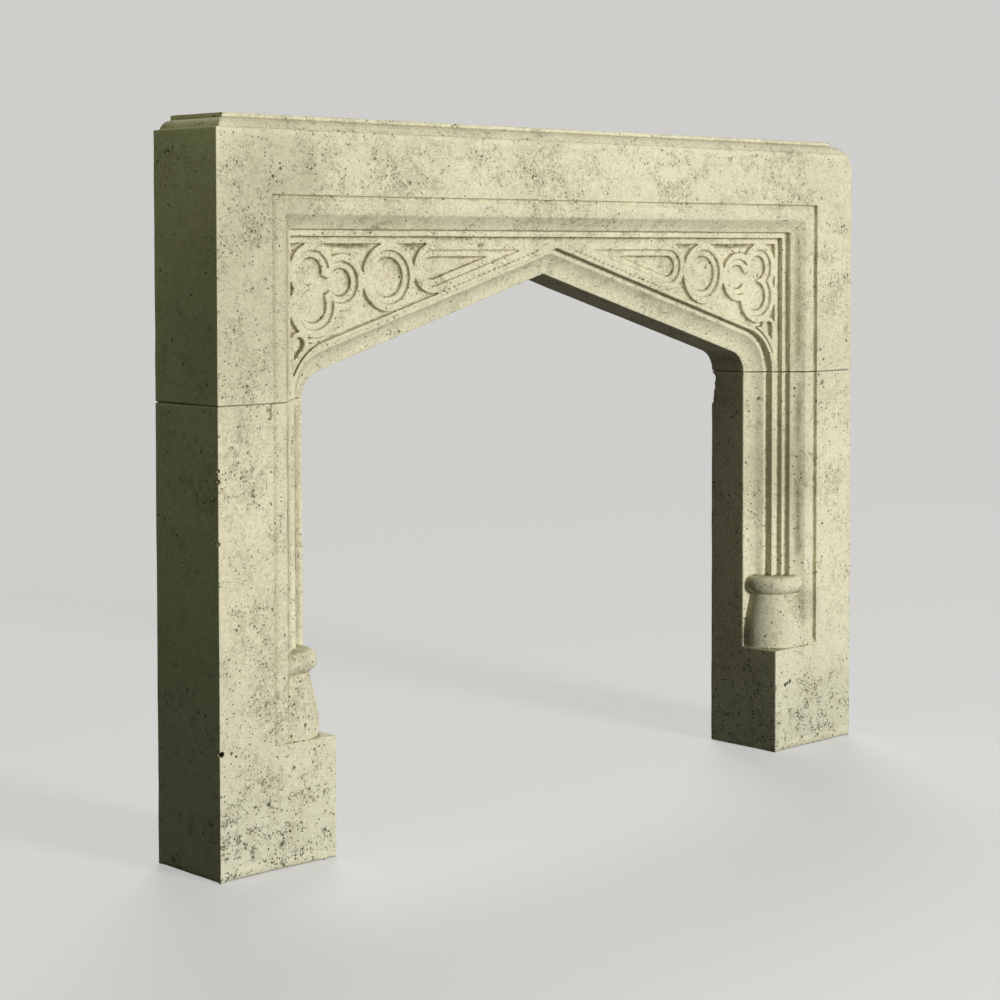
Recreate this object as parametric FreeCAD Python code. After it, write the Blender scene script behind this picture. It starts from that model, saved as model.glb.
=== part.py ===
# Limestone fireplace mantel: a carved lintel on two moulded jambs, doweled and bedded in mortar.
# Millimetres. X runs across the front, Y from the front to the back, Z up.
# The origin is on the floor, under the middle of the mantel.
import FreeCAD, Part
import math
import os

V = FreeCAD.Vector

# Opening and stones
opening_width = 1220.0        # clear width between the jambs
depth = 185.0                 # front face to back face
springing_height = 820.0      # floor to the middle of the bed joints, where the arch starts
arch_rise = 219.0             # springing to the point of the arch
shoulder_radius = 48.0        # arc that turns each jamb into its straight rafter
side_margin = 118.5           # plain face outside the moulded frame
top_margin = 113.5            # plain face above the moulded frame
plinth_height = 220.0

# Cap moulding along the front and the two ends
cap_front_ledge = 9.0
cap_end_ledge = 12.0
cap_ovolo_width = 24.5
cap_ovolo_height = 18.0
cap_fillet_height = 9.0

# Moulded frame from its outer edge inwards: widths across the face, drops towards the back
quirk_flat = 4.0
roll_flank_radius = 15.5      # from the quirk up to the crest
roll_flank_slope = 50.0       # degrees at the quirk
roll_crest = 3.0              # front to the crest
roll_face_radius = 52.0       # from the crest to the arris above the cove
roll_face_slope = 20.0        # degrees at that arris
cove_end = 59.0               # outer edge to the foot of the cove
cove_level = 28.0             # front to the foot of the cove
cove_sag = 1.8
outer_fillet_width = 12.0
outer_fillet_drop = 12.0
middle_fillet_drop = 13.0
middle_fillet_top_width = 13.0
middle_fillet_side_width = 9.5
arch_border_width = 8.0
inner_fillet_width = 10.0
inner_fillet_drop = 17.0
hollow_width = 39.0
hollow_drop = 23.0
hollow_sag = 5.0

# Spandrel carving: a trefoil in the corner, then a ring and a dagger towards the point
field_drop = 9.0              # ground of the carving below the middle fillet
groove_width = 3.5            # ground left between the corner piece and the arch border
figure_overlap = 1.0          # the figures run this far into what they touch
rim_width = 12.0
ledge_width = 12.5
ledge_drop = 6.0
floor_drop = 6.0
lobe_radius = 50.5
lower_lobe_radius = 56.0
lower_lobe_fall = 62.0        # upper lobe's centre to the lower lobe's
inner_lobe_reach = 68.0       # upper lobe's centre to the inner lobe's, along the face
inner_lobe_fall = 20.0
eye_radius = 12.0
eye_rim = 8.0
eye_tail = 30.0
eye_drop = 11.0
ground_start = 40.0           # the ground stops this far from the middle of the mantel
ground_stop = 42.0            # and this far above the springing

# Pot-shaped stop that stands on each plinth
pot_inset = 74.0              # opening's face to the pot's axis
pot_setback = 0.5             # front plane to the pot's belly
pot_base_radius = 70.5
pot_belly_radius = 73.0
pot_belly_height = 24.0
pot_shoulder_radius = 66.5
pot_shoulder_height = 68.0
pot_waist_radius = 60.5
pot_waist_height = 92.0
pot_neck_radius = 56.5
pot_neck_height = 118.0
collar_radius = 70.0
collar_seat_radius = 59.0
collar_height = 36.0

# Slope on which the quirk ends above each plinth
stop_depth = 14.0
stop_rise = 30.0
stop_reach = 38.0             # frame's outer edge to the slope's end inside the pot
stop_skew = 10.0              # the slope's foot moves this far back over its reach

# Bed joints, dowels and setting shims
bed_joint = 2.0
bed_recess = 5.0              # mortar's edge behind the faces that show
dowel_diameter = 12.0
dowel_length = 140.0
dowel_grout = 3.0             # grout round the dowel and at its ends
inner_dowel_inset = 65.0      # opening's face to the inner dowel
outer_dowel_inset = 75.0      # mantel's end to the outer dowel
shim_size = 40.0

# Sockets for wall ties, drilled in the backs
socket_diameter = 12.0
socket_depth = 60.0
lintel_socket_spacing = 1000.0
lintel_socket_drop = 100.0    # top of the plain face to the sockets
jamb_socket_height = 260.0    # floor to the lower socket
jamb_socket_spacing = 380.0

# Places that follow from the sizes above
front = -depth / 2
back = depth / 2
jamb_face = opening_width / 2
arch_drop_offset = hollow_width + inner_fillet_width
arch_border_offset = arch_drop_offset + arch_border_width
crest_place = quirk_flat + roll_flank_radius * math.sin(math.radians(roll_flank_slope))
quirk_depth = roll_crest + roll_flank_radius * (1 - math.cos(math.radians(roll_flank_slope)))
outer_fillet_end = cove_end + outer_fillet_width
frame_half = jamb_face + arch_border_offset + middle_fillet_side_width + outer_fillet_end
end_face = frame_half + side_margin
leg_width = end_face - jamb_face
outer_level = cove_level + outer_fillet_drop
middle_level = outer_level + middle_fillet_drop
inner_level = middle_level + inner_fillet_drop
hollow_level = inner_level + hollow_drop
field_level = middle_level + field_drop

shoulder_x = jamb_face - shoulder_radius
apex_height = springing_height + arch_rise
rafter_angle = (math.atan2(arch_rise, shoulder_x)
                - math.asin(shoulder_radius / math.hypot(arch_rise, shoulder_x)))
rafter_sin = math.sin(rafter_angle)
rafter_cos = math.cos(rafter_angle)
shoulder_turn = math.pi / 2 - rafter_angle
field_top = apex_height + arch_border_offset / rafter_cos
field_side = jamb_face + arch_border_offset
frame_top = field_top + middle_fillet_top_width + outer_fillet_end
block_top = frame_top + top_margin
overall_height = block_top + cap_ovolo_height + cap_fillet_height
jamb_top = springing_height - bed_joint / 2
lintel_bottom = springing_height + bed_joint / 2


def outline_face(place, start, steps):
    """Face inside a closed outline; a step is a straight run's end, or an arc's middle and end."""
    edges = []
    here = place(*start)
    for step in steps:
        if isinstance(step[0], tuple):
            middle = place(*step[0])
            end = place(*step[1])
            edges.append(Part.Arc(here, middle, end).toShape())
        else:
            end = place(*step)
            edges.append(Part.makeLine(here, end))
        here = end
    edges.append(Part.makeLine(here, place(*start)))
    return Part.Face(Part.Wire(edges))


def on_face(x, z):
    """Point of the front view, placed well in front of the mantel."""
    return V(x, front - depth, z)


def front_prism(face, level):
    """Prism of a front-view face, from in front of the mantel back to a level behind its face."""
    return face.extrude(V(0, depth + level, 0))


def front_cylinder(x, z, radius, level):
    return Part.makeCylinder(radius, depth + level, on_face(x, z), V(0, 1, 0))


def handed(shape):
    return shape.mirror(V(0, 0, 0), V(1, 0, 0))


def both_sides(shapes):
    return shapes + [handed(shape) for shape in shapes]


# The moulded frame's section, as the space that is cut away: u inwards, v towards the back
def on_roll(radius, degrees):
    """Point of a round that touches the crest, where its slope towards the opening is as given."""
    slope = math.radians(degrees)
    return (crest_place + radius * math.sin(slope), roll_crest + radius * (1 - math.cos(slope)))


def roll_and_cove():
    """Gentle face from the roll's crest to an arris, then a cove down to its foot."""
    arris = on_roll(roll_face_radius, roll_face_slope)
    across = cove_end - arris[0]
    down = cove_level - arris[1]
    sag = cove_sag / math.hypot(across, down)
    return [(on_roll(roll_face_radius, roll_face_slope / 2), arris),
            ((arris[0] + across / 2 - sag * down, arris[1] + down / 2 + sag * across),
             (cove_end, cove_level))]


def frame_steps(far_end):
    """Steps of the frame's section from its outer edge to the middle fillet, which runs to far_end."""
    return [(0, roll_crest), (crest_place, roll_crest), *roll_and_cove(), (cove_end, outer_level),
            (outer_fillet_end, outer_level), (outer_fillet_end, middle_level),
            (far_end, middle_level)]


def quirk_face(place):
    """Sharp groove outside the roll, with the roll's outer flank."""
    crest = (crest_place, roll_crest)
    return outline_face(place, (0, -depth), [(0, quirk_depth), (quirk_flat, quirk_depth),
                                             (on_roll(roll_flank_radius, -roll_flank_slope / 2), crest),
                                             (crest_place, -depth)])


def hollow_middle():
    """Middle point of the hollow's arc: u from the inner fillet's edge, v from the front."""
    chord = math.hypot(hollow_width, hollow_drop)
    return (hollow_width / 2 - hollow_sag * hollow_drop / chord,
            inner_level + hollow_drop / 2 + hollow_sag * hollow_width / chord)


def at_side(z):
    """Place of a section point of the right-hand upright run, at height z."""
    return lambda u, v: V(frame_half - u, front + v, z)


def at_top(x):
    """Place of a section point of the top run, at x."""
    return lambda u, v: V(x, front + v, frame_top - u)


# Arch
def arch_steps(offset, low):
    """Arch outline at an offset outside the arris, from the left foot to the right foot at height low."""
    radius = shoulder_radius + offset
    half_sin = math.sin(shoulder_turn / 2)
    half_cos = math.cos(shoulder_turn / 2)
    middle = (shoulder_x + radius * half_cos, springing_height + radius * half_sin)
    tangent = (shoulder_x + radius * rafter_sin, springing_height + radius * rafter_cos)
    foot = jamb_face + offset
    spring = (foot, springing_height)

    def left(point):
        return (-point[0], point[1])

    return [left(spring), (left(middle), left(tangent)), (0, apex_height + offset / rafter_cos),
            tangent, (middle, spring), (foot, low)]


def arch_face(offset):
    low = springing_height - depth
    return outline_face(on_face, (-jamb_face - offset, low), arch_steps(offset, low))


def arch_hollow():
    """The right-hand half of the hollow along the arch: turned round the shoulder, then straight."""
    middle_u, middle_v = hollow_middle()
    section = outline_face(lambda p, v: V(jamb_face + p, front + v, springing_height),
                           (-shoulder_radius / 2, middle_level),
                           [(hollow_width, middle_level), (hollow_width, inner_level),
                            ((hollow_width - middle_u, middle_v), (0, hollow_level)),
                            (-shoulder_radius / 2, hollow_level)])
    pivot = V(shoulder_x, 0, springing_height)
    turn = math.degrees(shoulder_turn)
    shoulder = section.revolve(pivot, V(0, -1, 0), turn)
    turned = section.copy()
    turned.rotate(pivot, V(0, -1, 0), turn)
    rafter = turned.extrude(V(-rafter_cos, 0, rafter_sin) * opening_width)
    right_half = Part.makeBox(opening_width, depth * 2, overall_height, V(0, -depth, 0))
    return shoulder.fuse(rafter).common(right_half)


# Spandrel carving, right-hand side
wedge_start = groove_width / rafter_sin
wedge_rate = (1 + 1 / rafter_cos) * rafter_cos / rafter_sin
upper_lobe = (field_side - lobe_radius, field_top - lobe_radius)
lower_lobe = (field_side - lower_lobe_radius, upper_lobe[1] - lower_lobe_fall)
inner_lobe = (upper_lobe[0] - inner_lobe_reach, upper_lobe[1] - inner_lobe_fall)


def ring_radius_between():
    """Radius of the ring that touches the field's top, the groove and the trefoil's inner lobe."""
    across = inner_lobe[0] - wedge_start
    fall = field_top - inner_lobe[1]
    half_b = wedge_rate * across + fall + lobe_radius
    c = across ** 2 + fall ** 2 - lobe_radius ** 2
    return (half_b - math.sqrt(half_b ** 2 - wedge_rate ** 2 * c)) / wedge_rate ** 2


ring_radius = ring_radius_between()
ring = (wedge_start + wedge_rate * ring_radius, field_top - ring_radius)
dagger_radius = ring_radius * (wedge_rate - 1) / (wedge_rate + 1)
dagger = (wedge_start + wedge_rate * dagger_radius, field_top - dagger_radius)
eye_outer_radius = eye_radius + eye_rim
eye = (field_side - eye_outer_radius,
       lower_lobe[1] - math.sqrt((lower_lobe_radius + eye_outer_radius) ** 2
                                 - (lower_lobe_radius - eye_outer_radius) ** 2))


def trefoil(inset, level):
    """Three lobes joined by the triangle between their centres."""
    lobes = [(upper_lobe, lobe_radius), (lower_lobe, lower_lobe_radius), (inner_lobe, lobe_radius)]
    middle = outline_face(on_face, upper_lobe, [lower_lobe, inner_lobe])
    return front_prism(middle, level).multiFuse(
        [front_cylinder(*centre, radius - inset, level) for centre, radius in lobes])


def ring_disc(inset, level):
    return front_cylinder(*ring, ring_radius - inset, level)


def dagger_leaf(inset, level):
    """Leaf with a round outer end and a point towards the middle of the mantel."""
    radius = dagger_radius - inset
    point = (wedge_start + wedge_rate * inset, field_top - inset)
    top = (dagger[0], dagger[1] + radius)
    side = (dagger[0] + radius, dagger[1])
    bottom = (dagger[0] - radius * rafter_sin, dagger[1] - radius * rafter_cos)
    return front_prism(outline_face(on_face, point, [top, (side, bottom)]), level)


def corner_piece(level):
    """Raised corner under the trefoil: the eye's rim and the stone between groove and side fillet."""
    low = springing_height - depth
    edge = arch_steps(arch_border_offset + groove_width, low)
    outside = field_side + figure_overlap
    half = outline_face(on_face, (0, eye[1]), [(outside, eye[1]), (outside, low), (0, low)])
    inside = outline_face(on_face, (-edge[-1][0], low), edge)
    return front_prism(half, level).cut(front_prism(inside, level)).fuse(
        front_cylinder(*eye, eye_outer_radius + figure_overlap, level))


def eye_sinking(level):
    """Drop-shaped sinking: round above, with a tail that leans along the side fillet."""
    lean = eye_radius / eye_tail
    swing = math.acos(eye_radius / math.hypot(eye_tail, eye_radius))
    heading = -math.pi / 2 + math.atan(lean)
    tip_reach = math.hypot(eye_tail, eye_radius)
    tip = (eye[0] + tip_reach * math.cos(heading), eye[1] + tip_reach * math.sin(heading))

    def rim(angle):
        return (eye[0] + eye_radius * math.cos(angle), eye[1] + eye_radius * math.sin(angle))

    far = rim(heading + math.pi)
    return front_prism(outline_face(on_face, tip, [rim(heading + swing), (far, rim(heading - swing))]),
                       level)


def field_face():
    """Ground of the carving: under the top fillet, inside the side fillet, above the arch border."""
    radius = shoulder_radius + arch_border_offset
    stop = springing_height + ground_stop
    stop_angle = math.asin(ground_stop / radius)
    mid_angle = (stop_angle + shoulder_turn) / 2

    def on_shoulder(angle):
        return (shoulder_x + radius * math.cos(angle), springing_height + radius * math.sin(angle))

    start = (ground_start, field_top - ground_start * rafter_sin / rafter_cos)
    return outline_face(on_face, start, [(ground_start, field_top), (field_side, field_top),
                                         (field_side, stop), on_shoulder(stop_angle),
                                         (on_shoulder(mid_angle), on_shoulder(shoulder_turn))])


def spandrel_cuts():
    """Everything that is cut for the right-hand spandrel below the middle fillet's face."""
    figures = [figure(-figure_overlap, field_level) for figure in (trefoil, ring_disc, dagger_leaf)]
    figures.append(corner_piece(field_level))
    ground = front_prism(field_face(), field_level).cut(figures)
    cuts = [ground, eye_sinking(middle_level + eye_drop)]
    for inset, drop in ((rim_width, ledge_drop), (rim_width + ledge_width, ledge_drop + floor_drop)):
        level = middle_level + drop
        cuts += [trefoil(inset, level), ring_disc(inset, level), dagger_leaf(inset, level)]
    return cuts


# Holes that pieces share
inner_dowel_x = jamb_face + inner_dowel_inset
outer_dowel_x = end_face - outer_dowel_inset
dowel_y = (front + hollow_level + back) / 2    # middle of the bed behind the moulding


def dowel(x):
    return Part.makeCylinder(dowel_diameter / 2, dowel_length,
                             V(x, dowel_y, springing_height - dowel_length / 2))


def dowel_hole(x):
    length = dowel_length + 2 * dowel_grout
    return Part.makeCylinder(dowel_diameter / 2 + dowel_grout, length,
                             V(x, dowel_y, springing_height - length / 2))


def tie_socket(x, z):
    return Part.makeCylinder(socket_diameter / 2, socket_depth, V(x, back, z), V(0, -1, 0))


def dowel_holes():
    return [dowel_hole(inner_dowel_x), dowel_hole(outer_dowel_x)]


# Pieces
def cap_steps(ledge):
    """Steps up one face of the block and its cap: ledge, ovolo that is level at its top, and fillet."""
    ledge_end = ledge + cap_ovolo_width
    radius = (cap_ovolo_width ** 2 + cap_ovolo_height ** 2) / (2 * cap_ovolo_height)
    half_turn = math.atan2(cap_ovolo_height, cap_ovolo_width)
    ovolo_top = block_top + cap_ovolo_height
    ovolo = ((ledge_end - radius * math.sin(half_turn),
              ovolo_top - radius * (1 - math.cos(half_turn))), (ledge_end, ovolo_top))
    return [(0, block_top), (ledge, block_top), ovolo, (ledge_end, overall_height)]


def lintel_block():
    """Block with its cap: the front's and the ends' profiles meet in mitred corners."""
    front_profile = outline_face(lambda y, z: V(-end_face, front + y, z), (0, lintel_bottom),
                                 cap_steps(cap_front_ledge) + [(depth, overall_height),
                                                               (depth, lintel_bottom)])
    end_profile = outline_face(lambda x, z: V(end_face - x, front, z), (0, lintel_bottom),
                               cap_steps(cap_end_ledge) + [(end_face, overall_height),
                                                           (end_face, lintel_bottom)])
    right_end = end_profile.extrude(V(0, depth, 0))
    ends = right_end.fuse(handed(right_end)).removeSplitter()
    return front_profile.extrude(V(2 * end_face, 0, 0)).common(ends)


def frame_cut():
    """Sunk panel inside the moulded frame: where the side runs and the top run overlap, they mitre."""
    far_side = 2 * frame_half
    side_low = springing_height - depth
    side = outline_face(at_side(side_low), (0, -depth),
                        frame_steps(far_side) + [(far_side, -depth)])
    right_run = side.extrude(V(0, 0, overall_height))
    far_down = frame_top - side_low
    top = outline_face(at_top(-end_face), (0, -depth),
                       frame_steps(far_down) + [(far_down, -depth)])
    top_run = top.extrude(V(2 * end_face, 0, 0))
    return top_run.common(right_run).common(handed(right_run))


def make_lintel():
    stone = lintel_block().cut(frame_cut())
    side_quirk = quirk_face(at_side(springing_height - depth)).extrude(
        V(0, 0, frame_top - springing_height + depth))
    top_quirk = quirk_face(at_top(-frame_half)).extrude(V(2 * frame_half, 0, 0))
    stone = stone.cut([top_quirk] + both_sides([side_quirk]))
    stone = stone.cut(both_sides(spandrel_cuts()))
    stone = stone.cut([front_prism(arch_face(arch_drop_offset), inner_level)]
                      + both_sides([arch_hollow()]))
    stone = stone.cut(front_prism(arch_face(0), 2 * depth))
    sockets = [tie_socket(lintel_socket_spacing / 2, block_top - lintel_socket_drop)]
    return stone.cut(both_sides(dowel_holes() + sockets)).removeSplitter()


def make_pot():
    """Pot with a round collar, turned about an upright axis; its belly stands just behind the front."""
    axis = V(jamb_face + pot_inset, front + pot_setback + pot_belly_radius, plinth_height)
    collar_middle = (collar_radius, pot_neck_height + collar_height / 2)
    collar_top = pot_neck_height + collar_height
    profile = outline_face(lambda r, z: axis + V(r, 0, z), (0, 0),
                           [(pot_base_radius, 0),
                            ((pot_belly_radius, pot_belly_height),
                             (pot_shoulder_radius, pot_shoulder_height)),
                            ((pot_waist_radius, pot_waist_height), (pot_neck_radius, pot_neck_height)),
                            (collar_seat_radius, pot_neck_height),
                            (collar_middle, (collar_seat_radius, collar_top)), (0, collar_top)])
    return profile.revolve(axis, V(0, 0, 1), 360)


def quirk_stop():
    """Slope that closes the quirk's foot and runs back into the pot."""
    slope = outline_face(lambda y, z: V(frame_half, front + y, plinth_height + z), (0, 0),
                         [(stop_depth, stop_rise), (stop_depth, 0)])
    return slope.extrude(V(-stop_reach, stop_skew, 0))


def make_jamb():
    """Right-hand jamb: plain plinth, moulded shaft and the pot at the foot of the moulding."""
    shaft = jamb_top - plinth_height
    hollow_start = frame_half - jamb_face - hollow_width
    drop_start = hollow_start - inner_fillet_width
    inner_edge = frame_half - jamb_face
    past = inner_edge + shoulder_radius
    middle_u, middle_v = hollow_middle()
    section = outline_face(at_side(plinth_height), (0, -depth),
                           frame_steps(drop_start) + [(drop_start, inner_level),
                                                      (hollow_start, inner_level),
                                                      ((hollow_start + middle_u, middle_v),
                                                       (inner_edge, hollow_level)),
                                                      (past, hollow_level), (past, -depth)])
    quirk = quirk_face(at_side(plinth_height))
    stone = Part.makeBox(leg_width, depth, jamb_top, V(jamb_face, front, 0))
    stone = stone.cut([section.extrude(V(0, 0, shaft)), quirk.extrude(V(0, 0, shaft))])
    stone = stone.fuse([quirk_stop(), make_pot()])
    leg_middle = jamb_face + leg_width / 2
    sockets = [tie_socket(leg_middle, jamb_socket_height),
               tie_socket(leg_middle, jamb_socket_height + jamb_socket_spacing)]
    return stone.cut(dowel_holes() + sockets).removeSplitter()


def make_shims():
    """Two pads in the right-hand bed joint: between the dowels and behind the plain margin."""
    places = [((inner_dowel_x + outer_dowel_x) / 2, dowel_y),
              (frame_half + side_margin / 2, front + side_margin / 2)]
    return [Part.makeBox(shim_size, shim_size, bed_joint,
                         V(x - shim_size / 2, y - shim_size / 2, jamb_top)) for x, y in places]


def make_mortar(shims):
    """Right-hand bed with the grout round both dowels, flush at the back, set in behind the other faces."""
    far = end_face - bed_recess
    near = jamb_face + bed_recess
    behind = hollow_level + bed_recess
    margin_edge = frame_half + bed_recess
    bed = outline_face(lambda x, v: V(x, front + v, jamb_top), (far, bed_recess),
                       [(far, depth), (near, depth), (near, behind),
                        (margin_edge, behind), (margin_edge, bed_recess)])
    mortar = bed.extrude(V(0, 0, bed_joint)).fuse(dowel_holes())
    return mortar.cut([dowel(inner_dowel_x), dowel(outer_dowel_x)] + shims).removeSplitter()


def main():
    os.makedirs("parts", exist_ok=True)
    jamb = make_jamb()
    shims = make_shims()
    right_pieces = {"jamb": jamb, "bed_mortar": make_mortar(shims),
                    "outer_dowel": dowel(outer_dowel_x), "inner_dowel": dowel(inner_dowel_x),
                    "setting_shims": Part.makeCompound(shims)}
    pieces = {"lintel": make_lintel()}
    for name, shape in right_pieces.items():
        pieces["right_" + name] = shape
        pieces["left_" + name] = handed(shape)
    for name, shape in pieces.items():
        shape.exportStep("parts/" + name + ".step")
        box = shape.BoundBox
        print(name, "valid", shape.isValid(), "solids", len(shape.Solids), "faces", len(shape.Faces),
              "litres", round(shape.Volume / 1e6, 3), "size", round(box.XLength, 1),
              round(box.YLength, 1), round(box.ZLength, 1))


main()
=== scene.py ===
# Looks of a limestone fireplace mantel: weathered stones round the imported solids, and a plain stage.
import math
import random

import bmesh
import bpy
import numpy as np
from bpy.props import FloatProperty, FloatVectorProperty, IntProperty, PointerProperty
from mathutils import Matrix, Vector, noise
from mathutils.kdtree import KDTree


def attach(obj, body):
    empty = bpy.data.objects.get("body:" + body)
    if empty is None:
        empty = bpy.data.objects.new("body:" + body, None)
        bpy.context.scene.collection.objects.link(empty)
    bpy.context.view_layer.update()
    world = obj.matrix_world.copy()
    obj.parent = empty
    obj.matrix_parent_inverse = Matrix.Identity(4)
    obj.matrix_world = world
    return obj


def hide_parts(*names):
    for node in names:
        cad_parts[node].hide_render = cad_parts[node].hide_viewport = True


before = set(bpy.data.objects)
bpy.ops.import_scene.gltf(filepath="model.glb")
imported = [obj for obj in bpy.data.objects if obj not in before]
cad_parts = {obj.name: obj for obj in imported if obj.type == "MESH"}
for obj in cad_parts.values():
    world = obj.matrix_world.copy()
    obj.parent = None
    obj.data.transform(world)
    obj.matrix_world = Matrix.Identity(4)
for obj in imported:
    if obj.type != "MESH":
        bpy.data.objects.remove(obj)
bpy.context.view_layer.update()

bl_info = {
    "name": "Limestone mantel",
    "version": (1, 0, 0),
    "blender": (4, 5, 0),
    "location": "View3D > Sidebar > Mantel",
    "description": "Weathered limestone, mortar and steel for a carved fireplace mantel",
    "category": "Object",
}

STONE_NODES = {"lintel": "lintel_stone", "left_jamb": "left_jamb_stone", "right_jamb": "right_jamb_stone"}
SIDES = ("left", "right")
TRIANGLE_LIMIT = 180000

SMOOTHING = 0.5                # share of the way that one smoothing step moves a point
ADAPTIVITY = 0.02              # how far the fine mesh may leave flat faces coarse
FINE_RECESS_STEPS = 8          # smoothing steps that find quirks and creases
WIDE_RECESS_STEPS = 24         # and those that find sunk grounds
MARKED_CHIP = 0.0046           # chips under this radius are painted dark like the pits: dirt and painted shade inside them

PIT_SINK = 0.3                 # a pit's centre stands out by this part of its radius
CROWD_SCALE = 11.0             # crowds of pits in each metre, about
CROWD_FLOOR = 0.12             # how much more crowded the pits are at the floor
CROWD_LEAST = 0.04
CROWD_SPAN = 0.5

FRONT = -0.09                  # where the front faces lie, near enough for stains
SPOT_CORE = 0.25               # part of a spot's reach over which it is full
SPOT_EDGE = (-0.05, 0.09)      # soft edge of a speck, in parts of a cell
FOOT_TOP = 0.30                # dirtier stone above the floor
FOOT_FADE = 0.28
BLEACH_TOP = 0.45              # whiter stone above the floor
RAGGED = 0.006                 # how far the specks are pulled out of round
STONE_RELIEF = 0.0011

FLOOR_GLOW = 0.60              # parts of the floor's colour: its own light, where it is seen
FLOOR_SEEN = 0.45              # what it throws back, where it is seen
FLOOR_UNSEEN = 0.03            # and what it throws back at the object


def colour_property(name, description, default):
    return FloatVectorProperty(name=name, description=description, default=default, size=3,
                               subtype="COLOR", min=0.0, max=1.0)


def length_property(name, description, default):
    return FloatProperty(name=name, description=description, default=default, min=0.0, precision=5,
                         subtype="DISTANCE", unit="LENGTH")


class MantelSizes(bpy.types.PropertyGroup):
    """Sizes of the weathering and of the stage."""

    grain: length_property("Mesh grain", "Finest edge of the mesh that the stone is worked in", 0.0013)
    unevenness: length_property("Unevenness", "Height of the slow waves that hand dressing leaves", 0.0014)
    small_pit: length_property("Small pit", "Radius of the smallest open pits", 0.0013)
    large_pit: length_property("Large pit", "Radius of the largest open pits", 0.0029)
    pits: IntProperty(name="Pits", description="Open pits tried for on each square metre", default=900, min=0)
    softening: IntProperty(name="Softening", description="Smoothing steps on every arris", default=1, min=0)
    wear: IntProperty(name="Wear", description="Smoothing steps where the arrises are worn most",
                      default=3, min=0)
    floor_radius: length_property("Floor radius", "Reach of the plain floor round the mantel", 40.0)


class MantelColours(bpy.types.PropertyGroup):
    """Colours of the stone, the joints and the stage."""

    limestone: colour_property("Limestone", "Clean cream stone", (0.880, 0.835, 0.590))
    cool_bed: colour_property("Cool bed", "Greyer, greener beds in the stone", (0.535, 0.500, 0.335))
    # This olive colour also paints shade in quirks, creases and sunk grounds
    stain_and_shade: colour_property("Stain", "Olive weather stain round the pits", (0.335, 0.285, 0.155))
    bleached: colour_property("Bleached", "Whiter stone near the floor", (0.710, 0.715, 0.550))
    ochre: colour_property("Ochre", "Warm iron patches", (0.55, 0.42, 0.255))
    # This dark colour also paints shade in crevices, open pits and small chips
    pit: colour_property("Pit", "Dirt that sits in the pits and quirks", (0.062, 0.052, 0.025))
    mortar: colour_property("Mortar", "Lime mortar in the bed joints", (0.30, 0.285, 0.22))
    steel: colour_property("Steel", "Stainless dowels", (0.56, 0.57, 0.58))
    shim: colour_property("Shim", "Dark setting shims", (0.05, 0.05, 0.055))
    floor: colour_property("Floor", "Plain pale floor", (0.74, 0.735, 0.72))
    backdrop: colour_property("Backdrop", "Pale backdrop behind the floor", (0.62, 0.615, 0.60))


class Signal:
    """An output socket of a finish. Arithmetic on signals adds Math nodes to the same finish."""

    def __init__(self, finish, socket):
        self.finish = finish
        self.socket = socket

    def maths(self, operation, first, second, clamp=False):
        return self.finish.node("Math", {"operation": operation, "use_clamp": clamp}, {0: first, 1: second})

    def __add__(self, other):
        return self.maths("ADD", self, other)

    __radd__ = __add__

    def __sub__(self, other):
        return self.maths("SUBTRACT", self, other)

    def __rsub__(self, other):
        return self.maths("SUBTRACT", other, self)

    def __mul__(self, other):
        return self.maths("MULTIPLY", self, other)

    __rmul__ = __mul__

    def between(self, low, high):
        """Smooth step from 0 at low to 1 at high."""
        return self.finish.node("MapRange", {"interpolation_type": "SMOOTHSTEP"},
                                {"Value": self, "From Min": low, "From Max": high})


class Finish:
    """A material or world in the making: node adds one node, with its settings set before its sockets."""

    def __init__(self, owner, shader="Principled BSDF"):
        owner.use_nodes = True
        self.owner = owner
        self.tree = owner.node_tree
        self.shader = self.tree.nodes[shader]

    def node(self, kind, settings=None, sockets=None, output=0):
        made = self.tree.nodes.new("ShaderNode" + kind)
        for key, value in (settings or {}).items():
            setattr(made, key, value)
        for key, value in (sockets or {}).items():
            self.feed(made.inputs[key], value)
        return Signal(self, made.outputs[output])

    def feed(self, socket, value):
        if isinstance(value, Signal):
            self.tree.links.new(value.socket, socket)
        else:
            socket.default_value = value

    def surface(self, **sockets):
        for key, value in sockets.items():
            self.feed(self.shader.inputs[key.replace("_", " ")], value)
        return self.owner

    def place(self):
        return self.node("TexCoord", output="Object")

    def noise(self, place, scale, detail=3.0, roughness=0.5, distortion=0.0, output=0):
        return self.node("TexNoise", {"noise_dimensions": "3D"},
                         {"Vector": place, "Scale": scale, "Detail": detail, "Roughness": roughness,
                          "Distortion": distortion}, output)

    def mix(self, share, first, second, blend="MIX"):
        """Colour that goes from first to second, or to their blend, as share goes from 0 to 1."""
        return self.node("Mix", {"data_type": "RGBA", "blend_type": blend},
                         {0: share, 6: first, 7: second}, 2)

    def scattered(self, place, scale, share, small, large):
        """Round spots in a share of the cells, with radii between small and large parts of a cell."""
        cell = self.node("TexVoronoi", {"feature": "F1"}, {"Vector": place, "Scale": scale})
        tint = Signal(self, cell.socket.node.outputs["Color"])
        chance = self.node("SeparateColor", None, {"Color": tint})
        size = Signal(self, chance.socket.node.outputs[1])
        spot = (size * (large - small) + small - cell).between(*SPOT_EDGE)
        return spot * (chance + share).between(1.0, 1.01)

    def bump(self, height, distance, strength=1.0):
        return self.node("Bump", None, {"Strength": strength, "Distance": distance, "Height": height})


def new_finish(name):
    return Finish(bpy.data.materials.new(name))


def rgba(colour):
    return (*colour, 1.0)


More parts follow.
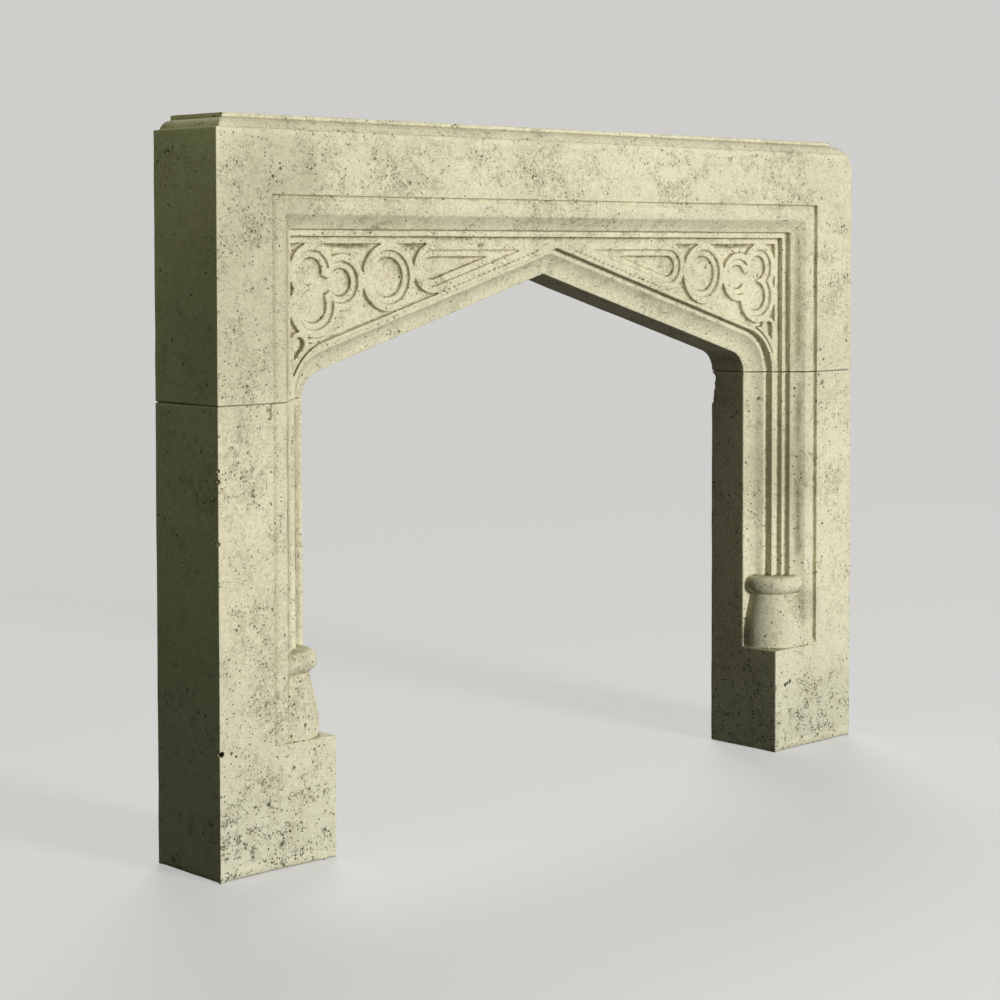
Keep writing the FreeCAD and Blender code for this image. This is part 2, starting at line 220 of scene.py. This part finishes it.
# Stains that show on the front: centre across, centre up and reach in metres
STAINS = (
    (-0.837, 1.240, 0.06), (-0.670, 1.262, 0.06), (-0.456, 1.214, 0.08), (-0.258, 1.274, 0.07),
    (-0.087, 1.245, 0.10), (0.037, 1.205, 0.07), (0.255, 1.253, 0.10), (0.635, 1.258, 0.11),
    (-0.819, 0.835, 0.05), (-0.805, 0.702, 0.05), (-0.790, 0.445, 0.06), (-0.784, 0.308, 0.05),
    (-0.712, 0.254, 0.07), (-0.740, 0.165, 0.08), (-0.666, 0.140, 0.06), (-0.740, 0.075, 0.08),
    (0.735, 0.105, 0.08), (0.760, 0.030, 0.06), (0.705, 0.300, 0.08), (-0.705, 0.300, 0.07),
    (-0.800, 1.110, 0.08), (-0.835, 0.960, 0.07), (-0.790, 0.880, 0.06), (0.800, 0.980, 0.06),
    (0.790, 0.560, 0.07),
)

# Broad patches of painted shade, where the stone is darkened to look less lit, in the same measures
PAINTED_SHADE_PATCHES = ((-0.820, 0.980, 0.30), (-0.740, 1.235, 0.18), (0.760, 0.000, 0.26),
             (0.610, 0.600, 0.20), (0.712, 0.310, 0.07))


def spread_over(stone, place, spots):
    """Sum of soft round fields about the spots on the front."""
    total = 0.0
    for across, up, reach in spots:
        apart = stone.node("VectorMath", {"operation": "DISTANCE"},
                           {0: place, 1: (across, FRONT, up)}, "Value")
        total = total + apart.between(reach, SPOT_CORE * reach)
    return total


def stored(stone, name):
    """A value that the mesh holds at each point."""
    return stone.node("Attribute", {"attribute_name": name}, output="Fac")


def dark_spots(stone, place, cluster, foot):
    """Specks, pits and short veins, thickest in the clusters and near the floor."""
    wobble = stone.noise(place, 90.0, 2.0, output=1)
    ragged = stone.node("VectorMath", {"operation": "MULTIPLY_ADD"}, {0: wobble, 1: (RAGGED,) * 3, 2: place})
    specks = stone.scattered(ragged, 330.0, cluster * 0.30 + 0.12, 0.15, 0.42)
    pits = stone.scattered(ragged, 80.0, cluster * 0.26 + 0.015, 0.08, 0.22)
    small_pits = stone.scattered(ragged, 150.0, cluster * 0.60 + foot * 0.08 + 0.09, 0.09, 0.34)
    vein = stone.noise(place, 115.0, 1.0) - 0.5
    marks = (vein * vein).between(0.0034, 0.0008) * stone.noise(place, 52.0, 1.0).between(0.53, 0.58)
    marks = marks * cluster.between(0.02, 0.30)
    return specks * 0.8 + pits + small_pits + marks * (foot * 0.36 + 0.35)


def limestone_finish(colours):
    """Cream stone with cool beds, clouds of olive staining, specks and pits in clusters, recesses darkened
    with dirt and painted shade, arrises lightened as a painted highlight, and broad patches of painted shade.
    """
    stone = new_finish("weathered_limestone")
    place = stone.place()
    height = stone.node("SeparateXYZ", None, {"Vector": place}, "Z")
    recess = stored(stone, "recess")

    beds = stone.noise(place, 3.2, 5.0, 0.6).between(0.36, 0.64)
    broad = stone.noise(place, 5.5, 6.0, 0.62, 0.5).between(0.40, 0.66)
    patches = stone.noise(place, 19.0, 6.0, 0.70, 0.3)
    mottle = stone.noise(place, 80.0, 2.0, 0.6)
    grit = stone.noise(place, 180.0, 2.0, 0.6)
    grain = stone.noise(place, 400.0, 2.0, 0.6)
    warmth = stone.noise(place, 3.6, 4.0, 0.6).between(0.57, 0.72)
    foot = (FOOT_TOP - height).between(0.0, FOOT_FADE)
    ground_dirt_and_shade = stored(stone, "wide_recess").between(0.12, 0.80)
    stained = spread_over(stone, place, STAINS)
    painted_shade = spread_over(stone, place, PAINTED_SHADE_PATCHES)
    cluster = (patches + broad * 0.10 + foot * 0.04 + stained * 0.12 + ground_dirt_and_shade * 0.05).between(0.50, 0.80)

    # Open pits and small chips are painted dark: dirt and painted shade inside them
    dark = dark_spots(stone, place, cluster, foot) + stored(stone, "open_pit")
    dark = dark.between(0.0, 1.0)
    hollow = recess.between(0.06, 0.36)
    crevice_dirt_and_shade = recess.between(0.16, 0.42) * mottle.between(0.30, 0.60)
    crest_highlight = (recess * -1.0).between(0.08, 0.5)

    shade = grain * 1.3 + grit * 0.7 + mottle * 0.40 + patches * 0.30 + beds * 0.20 - 0.99
    tone = stone.mix(shade.between(0.0, 1.0), rgba(colours.limestone), rgba(colours.cool_bed))
    # Painted shade: broad patches of the stone are darkened where the light is to look dimmer
    shade_tint = [cool / clean for cool, clean in zip(colours.cool_bed, colours.limestone)]
    tone = stone.mix(painted_shade.between(0.0, 1.3) * 0.57, tone, rgba(shade_tint), "MULTIPLY")
    tone = stone.mix((BLEACH_TOP - height).between(0.0, BLEACH_TOP) * 0.45, tone, rgba(colours.bleached))
    tone = stone.mix(warmth * mottle.between(0.40, 0.65) * 0.30, tone, rgba(colours.ochre))
    tone = stone.mix(cluster * (mottle + grit).between(0.80, 1.20) * 0.36, tone, rgba(colours.stain_and_shade))
    # Painted highlight: arrises and crests are lightened toward clean cream stone
    tone = stone.mix(crest_highlight * 0.30, tone, rgba(colours.limestone))
    # Quirks and creases are painted darker toward olive: dirt and painted shade
    tone = stone.mix(hollow * 0.70, tone, rgba(colours.stain_and_shade))
    # Sunk grounds are painted darker toward olive near their walls: dirt and painted shade
    tone = stone.mix(ground_dirt_and_shade * (grit + mottle).between(0.6, 1.3) * 0.55, tone, rgba(colours.stain_and_shade))
    # Deep crevices are painted toward the dark pit colour: dirt and painted shade
    tone = stone.mix(crevice_dirt_and_shade * 0.6, tone, rgba(colours.pit))
    tone = stone.mix(dark * (0.84 + foot * 0.12), tone, rgba(colours.pit))

    relief = mottle * 0.4 + grit * 0.3 + grain * 0.2 - dark
    return stone.surface(Base_Color=tone, Roughness=0.84 + mottle * 0.12, Specular_IOR_Level=0.30,
                         Normal=stone.bump(relief, STONE_RELIEF))


def mortar_finish(colours):
    """Sandy lime mortar."""
    mortar = new_finish("lime_mortar")
    place = mortar.place()
    sand = mortar.noise(place, 700.0, 4.0, 0.7)
    tone = mortar.mix(sand.between(0.35, 0.7), rgba(colours.mortar), rgba([c * 0.55 for c in colours.mortar]))
    return mortar.surface(Base_Color=tone, Roughness=0.95, Normal=mortar.bump(sand, 0.0008))


def steel_finish(colours):
    """Drawn stainless bar with lengthwise marks."""
    steel = new_finish("drawn_steel")
    place = steel.node("Mapping", None, {"Vector": steel.place(), "Scale": (1.0, 1.0, 0.04)})
    marks = steel.noise(place, 900.0, 3.0, 0.6)
    tone = steel.mix(marks, rgba(colours.steel), rgba([c * 0.8 for c in colours.steel]))
    return steel.surface(Base_Color=tone, Metallic=1.0, Roughness=0.24 + marks * 0.2,
                         Normal=steel.bump(marks, 0.0002))


def shim_finish(colours):
    """Moulded dark plastic with a fine texture."""
    shim = new_finish("shim_plastic")
    speckle = shim.noise(shim.place(), 1400.0, 2.0, 0.5)
    tone = shim.mix(speckle, rgba(colours.shim), rgba([c * 1.6 for c in colours.shim]))
    return shim.surface(Base_Color=tone, Roughness=0.5 + speckle * 0.2, Normal=shim.bump(speckle, 0.0001))


# Broken spots that show on the arrises: node, centre and radius in metres
CHIPS = (
    ("left_jamb", (-0.8620, -0.0915, 0.2240), 0.0044),
    ("left_jamb", (-0.8605, -0.0865, 0.2240), 0.0044),
    ("left_jamb", (-0.8590, -0.0815, 0.2240), 0.0042),
    ("left_jamb", (-0.8655, -0.0920, 0.7100), 0.0030),
    ("left_jamb", (-0.8655, -0.0920, 0.6920), 0.0036),
    ("left_jamb", (-0.8655, -0.0920, 0.5850), 0.0030),
    ("left_jamb", (-0.7575, -0.0925, 0.8160), 0.0070),
    ("left_jamb", (-0.7570, -0.0920, 0.8085), 0.0065),
    ("left_jamb", (-0.7560, -0.0915, 0.8015), 0.0060),
    ("left_jamb", (-0.7555, -0.0910, 0.7950), 0.0050),
    ("right_jamb", (0.6100, 0.0925, 0.8040), 0.0120),
    ("right_jamb", (0.6100, 0.0925, 0.7930), 0.0110),
    ("right_jamb", (0.6100, 0.0925, 0.7820), 0.0095),
    ("right_jamb", (0.6100, 0.0925, 0.7710), 0.0080),
    ("right_jamb", (0.6100, 0.0925, 0.7610), 0.0060),
    ("right_jamb", (0.6100, 0.0925, 0.7530), 0.0045),
    ("right_jamb", (0.8660, -0.0925, 0.3089), 0.0045),
    ("right_jamb", (0.6420, -0.0925, 0.1440), 0.0035),
    ("right_jamb", (0.6490, -0.0925, 0.1465), 0.0030),
    ("right_jamb", (0.6570, -0.0925, 0.1495), 0.0035),
    ("lintel", (0.8660, -0.0925, 1.2930), 0.0095),
    ("lintel", (0.8660, -0.0900, 1.2800), 0.0070),
)


def cloud_texture(name, scale, depth, contrast=1.0, brightness=1.0):
    texture = bpy.data.textures.new(name, "CLOUDS")
    texture.noise_scale = scale
    texture.noise_depth = depth
    texture.contrast = contrast
    texture.intensity = brightness
    return texture


def merged_copy(node, name):
    """New object whose mesh is a node's, with its loose triangles joined up."""
    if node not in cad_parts:
        raise RuntimeError("the packed model has no node named " + node)
    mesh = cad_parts[node].data.copy()
    mesh.name = name
    shape = bmesh.new()
    shape.from_mesh(mesh)
    bmesh.ops.remove_doubles(shape, verts=shape.verts, dist=1e-5)
    shape.to_mesh(mesh)
    shape.free()
    mesh.materials.clear()
    piece = bpy.data.objects.new(name, mesh)
    bpy.context.scene.collection.objects.link(piece)
    return piece


def scattered_pits(piece, sizes):
    """Centres and radii of open pits, thickest where a slow noise is high, none touching another."""
    mesh = piece.data
    areas = np.array([face.area for face in mesh.polygons])
    draw = random.Random(piece.name)
    faces = draw.choices(range(len(areas)), weights=areas, k=int(sizes.pits * areas.sum()))
    kept = []
    for face in (mesh.polygons[index] for index in faces):
        corners = [mesh.vertices[index].co for index in face.vertices]
        first, second = sorted((draw.random(), draw.random()))
        spot = corners[0] * first + corners[1] * (second - first) + corners[2] * (1.0 - second)
        radius = sizes.small_pit + (sizes.large_pit - sizes.small_pit) * draw.random() ** 3
        crowd = noise.fractal(spot * CROWD_SCALE, 0.9, 2.0, 3)
        crowd += CROWD_FLOOR * max(0.0, 1.0 - spot.z / FOOT_TOP)
        centre = spot + face.normal * radius * PIT_SINK
        clear = all((centre - other).length > radius + reach + sizes.grain for other, reach in kept)
        if crowd > CROWD_LEAST + CROWD_SPAN * draw.random() and clear:
            kept.append((centre, radius))
    return kept


def pit_cutter(node, spots, sizes):
    """Rough little balls where the stone is pitted and where its arrises are broken."""
    draw = random.Random(node)
    shape = bmesh.new()
    for centre, radius in spots:
        stretch = Matrix.Diagonal([draw.uniform(0.75, 1.3) for _ in "xyz"]).to_4x4()
        turn = Matrix.Rotation(draw.uniform(0.0, math.pi), 4, "Y")
        bmesh.ops.create_icosphere(shape, subdivisions=2 if radius > sizes.large_pit else 1, radius=radius,
                                   matrix=Matrix.Translation(centre) @ turn @ stretch)
    mesh = bpy.data.meshes.new(node + "_pits")
    shape.to_mesh(mesh)
    shape.free()
    cutter = bpy.data.objects.new(mesh.name, mesh)
    bpy.context.scene.collection.objects.link(cutter)
    return cutter


def settle(piece):
    """Turns the piece's live modifiers into its mesh."""
    graph = bpy.context.evaluated_depsgraph_get()
    worked = bpy.data.meshes.new_from_object(piece.evaluated_get(graph), preserve_all_data_layers=True,
                                             depsgraph=graph)
    old = piece.data
    piece.modifiers.clear()
    piece.data = worked
    worked.name = piece.name
    bpy.data.meshes.remove(old)


def coordinates(mesh):
    flat = np.empty(len(mesh.vertices) * 3, np.float32)
    mesh.vertices.foreach_get("co", flat)
    return flat.reshape(-1, 3)


def weather(piece, node, spots, sizes):
    """Pits and chips, a fine mesh, softened and worn arrises, and uneven faces."""
    cutter = pit_cutter(node, spots, sizes)
    cut = piece.modifiers.new("pits and chips", "BOOLEAN")
    cut.operation = "DIFFERENCE"
    cut.object = cutter
    cut.solver = "EXACT"
    cut.use_self = True
    remesh = piece.modifiers.new("fine mesh", "REMESH")
    remesh.mode = "VOXEL"
    remesh.voxel_size = sizes.grain
    remesh.adaptivity = ADAPTIVITY
    soften = piece.modifiers.new("softened arrises", "SMOOTH")
    soften.factor = SMOOTHING
    soften.iterations = sizes.softening

    piece.vertex_groups.new(name="worn")
    spread = piece.modifiers.new("worn spots", "VERTEX_WEIGHT_EDIT")
    spread.vertex_group = "worn"
    spread.use_add = True
    spread.add_threshold = 0.0
    spread.default_weight = 1.0
    spread.mask_texture = cloud_texture("worn_spots", scale=0.030, depth=2, contrast=3.2, brightness=0.86)
    spread.mask_tex_mapping = "LOCAL"
    spread.mask_tex_use_channel = "INT"
    wear = piece.modifiers.new("worn arrises", "SMOOTH")
    wear.factor = SMOOTHING
    wear.iterations = sizes.wear
    wear.vertex_group = "worn"

    waves = piece.modifiers.new("waves", "DISPLACE")
    waves.texture = cloud_texture("dressing_waves", scale=0.085, depth=1)
    waves.texture_coords = "LOCAL"
    waves.strength = sizes.unevenness
    waves.mid_level = 0.5
    settle(piece)
    bpy.data.objects.remove(cutter)


def mark_recesses(piece, name, steps):
    """Stores how far each point lies in a hollow, in millimetres; arrises come out negative."""
    before = coordinates(piece.data)
    normals = np.empty(len(piece.data.vertices) * 3, np.float32)
    piece.data.vertex_normals.foreach_get("vector", normals)
    blur = piece.modifiers.new("blur", "SMOOTH")
    blur.factor = SMOOTHING
    blur.iterations = steps
    graph = bpy.context.evaluated_depsgraph_get()
    after = coordinates(piece.evaluated_get(graph).data)
    piece.modifiers.remove(blur)
    rise = ((after - before) * normals.reshape(-1, 3)).sum(1) * 1000.0
    mark = piece.data.attributes.new(name, "FLOAT", "POINT")
    mark.data.foreach_set("value", rise.astype(np.float32))


def mark_pits(piece, spots):
    """Stores 1 inside each open pit and 0 elsewhere."""
    tree = KDTree(len(spots))
    for index, (centre, _) in enumerate(spots):
        tree.insert(centre, index)
    tree.balance()
    inside = np.zeros(len(piece.data.vertices), np.float32)
    for vertex in piece.data.vertices:
        _, index, gap = tree.find(vertex.co)
        inside[vertex.index] = gap < spots[index][1] * 1.1
    mark = piece.data.attributes.new("open_pit", "FLOAT", "POINT")
    mark.data.foreach_set("value", inside)


def thin_out(piece):
    """Brings the mesh under the limit of triangles, most where the stone is flat."""
    triangles = sum(len(face.vertices) - 2 for face in piece.data.polygons)
    if triangles > TRIANGLE_LIMIT:
        thin = piece.modifiers.new("thin out", "DECIMATE")
        thin.decimate_type = "COLLAPSE"
        thin.ratio = TRIANGLE_LIMIT / triangles
        settle(piece)
    piece.data.polygons.foreach_set("use_smooth", [True] * len(piece.data.polygons))


def dress_stone(context, node, finish):
    piece = merged_copy(node, STONE_NODES[node])
    sizes = context.scene.mantel_sizes
    chips = [(Vector(centre), radius) for owner, centre, radius in CHIPS if owner == node]
    pits = scattered_pits(piece, sizes)
    weather(piece, node, chips + pits, sizes)
    mark_recesses(piece, "recess", FINE_RECESS_STEPS)
    mark_recesses(piece, "wide_recess", WIDE_RECESS_STEPS)
    # Open pits and small chips are marked to be painted dark: dirt and painted shade inside them
    mark_pits(piece, pits + [chip for chip in chips if chip[1] < MARKED_CHIP])
    thin_out(piece)
    piece.data.materials.append(finish)
    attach(piece, "root")
    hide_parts(node)


def shared_finish(name, make, colours):
    return bpy.data.materials.get(name) or make(colours)


def finish_nodes(nodes, finish):
    """Gives CAD nodes that keep their shape their finish."""
    for node in nodes:
        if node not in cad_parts:
            raise RuntimeError("the packed model has no node named " + node)
        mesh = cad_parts[node].data
        mesh.materials.clear()
        mesh.materials.append(finish)


class MANTEL_OT_lintel(bpy.types.Operator):
    """Make the weathered lintel stone"""

    bl_idname = "mantel.lintel"
    bl_label = "Lintel"

    def execute(self, context):
        finish = shared_finish("weathered_limestone", limestone_finish, context.scene.mantel_colours)
        dress_stone(context, "lintel", finish)
        return {"FINISHED"}


class MANTEL_OT_jambs(bpy.types.Operator):
    """Make both weathered jamb stones"""

    bl_idname = "mantel.jambs"
    bl_label = "Jambs"

    def execute(self, context):
        finish = shared_finish("weathered_limestone", limestone_finish, context.scene.mantel_colours)
        for side in SIDES:
            dress_stone(context, side + "_jamb", finish)
        return {"FINISHED"}


class MANTEL_OT_bed_mortar(bpy.types.Operator):
    """Finish the mortar of both bed joints"""

    bl_idname = "mantel.bed_mortar"
    bl_label = "Bed mortar"

    def execute(self, context):
        finish_nodes([side + "_bed_mortar" for side in SIDES], mortar_finish(context.scene.mantel_colours))
        return {"FINISHED"}


class MANTEL_OT_dowels(bpy.types.Operator):
    """Finish the four dowels"""

    bl_idname = "mantel.dowels"
    bl_label = "Dowels"

    def execute(self, context):
        nodes = [side + "_" + place + "_dowel" for side in SIDES for place in ("outer", "inner")]
        finish_nodes(nodes, steel_finish(context.scene.mantel_colours))
        return {"FINISHED"}


class MANTEL_OT_setting_shims(bpy.types.Operator):
    """Finish the setting shims"""

    bl_idname = "mantel.setting_shims"
    bl_label = "Setting shims"

    def execute(self, context):
        finish_nodes([side + "_setting_shims" for side in SIDES], shim_finish(context.scene.mantel_colours))
        return {"FINISHED"}


def seen_rays(finish):
    """1 for rays that show the stage itself, from the camera or by way of metal or glass, else 0."""
    seen = finish.node("LightPath", output="Is Camera Ray")
    for name in ("Is Glossy Ray", "Is Transmission Ray"):
        seen = seen.maths("MAXIMUM", seen, finish.node("LightPath", output=name))
    return seen


def make_floor(scene):
    """Pale floor that throws little light back at the object."""
    shape = bmesh.new()
    bmesh.ops.create_circle(shape, cap_ends=True, segments=96, radius=scene.mantel_sizes.floor_radius)
    mesh = bpy.data.meshes.new("floor")
    shape.to_mesh(mesh)
    shape.free()
    floor = bpy.data.objects.new("floor", mesh)
    scene.collection.objects.link(floor)
    finish = new_finish("pale_floor")
    seen = seen_rays(finish)
    pale = scene.mantel_colours.floor
    glow = finish.mix(seen, (0.0, 0.0, 0.0, 1.0), rgba([c * FLOOR_GLOW for c in pale]))
    mesh.materials.append(finish.surface(
        Base_Color=finish.mix(seen, rgba([c * FLOOR_UNSEEN for c in pale]),
                              rgba([c * FLOOR_SEEN for c in pale])),
        Roughness=0.9, Emission_Color=glow, Emission_Strength=1.0))


def add_lamp(scene, name, kind, place, target=(0.0, 0.0, 0.0), **settings):
    lamp = bpy.data.lights.new(name, kind)
    for key, value in settings.items():
        setattr(lamp, key, value)
    holder = bpy.data.objects.new(name, lamp)
    holder.location = place
    holder.rotation_euler = (Vector(place) - Vector(target)).to_track_quat("Z", "Y").to_euler()
    holder.visible_camera = False
    scene.collection.objects.link(holder)


def make_lights(scene):
    """Level softbox right of the camera, weak lights from behind and from high on the left, dim surround."""
    add_lamp(scene, "softbox", "AREA", (0.75, -8.0, 1.75), (0.0, 0.0, 0.8), shape="SQUARE", size=1.8,
             energy=606.0)
    add_lamp(scene, "high_left_light", "AREA", (-1.9, -0.2, 2.2), (-0.5, 0.0, 0.8), shape="SQUARE", size=0.8,
             energy=3.0, color=(0.88, 1.0, 0.58))
    add_lamp(scene, "high_back_light", "SUN", (4.2, 4.8, 7.6), angle=math.radians(24.0), energy=1.2)
    studio = Finish(bpy.data.worlds.new("studio"), "Background")
    scene.world = studio.surface(Color=studio.mix(seen_rays(studio), (0.0100, 0.0140, 0.0045, 1.0),
                                                  rgba(scene.mantel_colours.backdrop)))


def make_camera(scene):
    """Camera at the photograph's place, for a square picture."""
    lens = bpy.data.cameras.new("camera")
    lens.sensor_width = 36.0
    lens.lens = 81.26
    lens.shift_y = -0.1604
    lens.clip_end = 100.0
    camera = bpy.data.objects.new("camera", lens)
    camera.location = (-3.1431, -3.2042, 1.0827)
    camera.rotation_euler = (math.radians(87.7727), math.radians(0.0802), math.radians(-43.3420))
    scene.collection.objects.link(camera)
    scene.camera = camera


class MANTEL_OT_stage(bpy.types.Operator):
    """Make the floor, the light and the camera"""

    bl_idname = "mantel.stage"
    bl_label = "Stage"

    def execute(self, context):
        make_floor(context.scene)
        make_lights(context.scene)
        make_camera(context.scene)
        context.scene.view_settings.view_transform = "Standard"
        return {"FINISHED"}


PIECE_OPERATORS = (MANTEL_OT_lintel, MANTEL_OT_jambs, MANTEL_OT_bed_mortar, MANTEL_OT_dowels,
                   MANTEL_OT_setting_shims, MANTEL_OT_stage)


class MANTEL_PT_sidebar(bpy.types.Panel):
    """Sizes, colours and pieces of the mantel"""

    bl_idname = "MANTEL_PT_sidebar"
    bl_label = "Limestone mantel"
    bl_space_type = "VIEW_3D"
    bl_region_type = "UI"
    bl_category = "Mantel"

    def draw(self, context):
        for group in (context.scene.mantel_sizes, context.scene.mantel_colours):
            column = self.layout.column()
            for name in group.bl_rna.properties.keys():
                if name not in ("name", "rna_type"):
                    column.prop(group, name)
        for operator in PIECE_OPERATORS:
            self.layout.operator(operator.bl_idname)


CLASSES = (MantelSizes, MantelColours, *PIECE_OPERATORS, MANTEL_PT_sidebar)


def register():
    for item in CLASSES:
        bpy.utils.register_class(item)
    bpy.types.Scene.mantel_sizes = PointerProperty(type=MantelSizes)
    bpy.types.Scene.mantel_colours = PointerProperty(type=MantelColours)


def unregister():
    del bpy.types.Scene.mantel_colours
    del bpy.types.Scene.mantel_sizes
    for item in reversed(CLASSES):
        bpy.utils.unregister_class(item)


def main():
    register()
    bpy.ops.mantel.lintel()
    bpy.ops.mantel.jambs()
    bpy.ops.mantel.bed_mortar()
    bpy.ops.mantel.dowels()
    bpy.ops.mantel.setting_shims()
    bpy.ops.mantel.stage()


if __name__ == "__main__":
    main()
